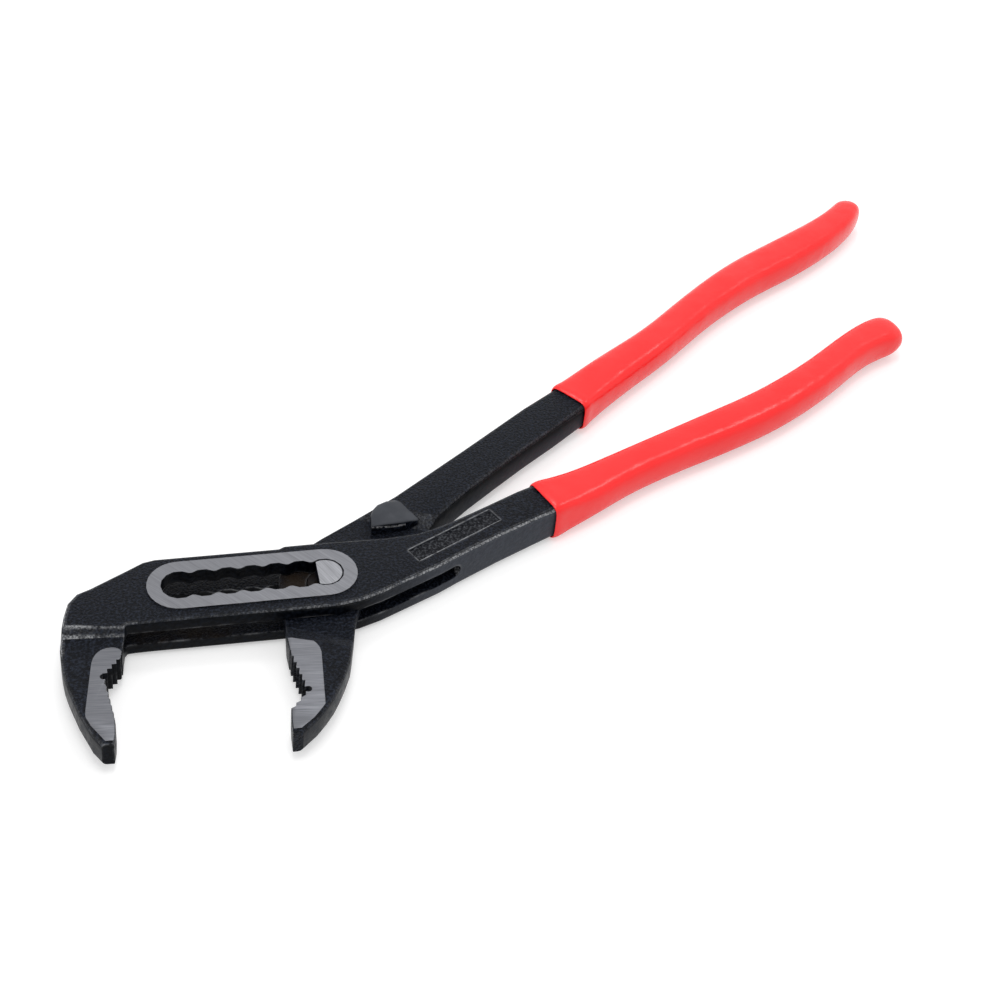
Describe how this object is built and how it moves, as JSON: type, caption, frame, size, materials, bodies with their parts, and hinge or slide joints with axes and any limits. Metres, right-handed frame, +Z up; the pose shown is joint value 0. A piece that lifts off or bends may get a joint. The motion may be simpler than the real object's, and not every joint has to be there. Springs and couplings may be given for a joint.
{
  "type": "water pump pliers",
  "caption": "Slip-joint water pump pliers with a box joint, a notched adjusting slot, angled toothed jaws and red dipped handle grips, for gripping pipes and nuts.",
  "frame": {"origin": "on the surface the tool lies on, under the middle of its bounding box", "axes": "+X along the adjusting slot from the fixed jaw towards the handles, +Y across it towards the handle of the moving jaw, +Z up through the thickness of the tool lying flat"},
  "size_m": [0.2822, 0.2152, 0.0128],
  "materials": {
    "black_steel": "forged steel with a fine-grained black coat, ground bright on the ring and on the jaw faces",
    "ground_steel": "ground flush",
    "red_dip": "glossy dip coat"
  },
  "bodies": {
    "outer_half": {"outer_lever": "black_steel", "outer_grip": "red_dip"},
    "pin": {"pivot_pin": "ground_steel"},
    "inner_half": {"inner_lever": "black_steel", "inner_grip": "red_dip"}
  },
  "joints": [
    {"name": "slot_slide", "type": "slide", "parent": "outer_half", "child": "pin", "axis": [1, 0, 0], "range_m": [-0.03876, 0]},
    {"name": "jaw_pivot", "type": "hinge", "parent": "pin", "child": "inner_half", "pos_m": [-0.07021, -0.05517, 0.0064], "axis": [0, 0, 1], "range_deg": [-3.5, 46]}
  ]
}
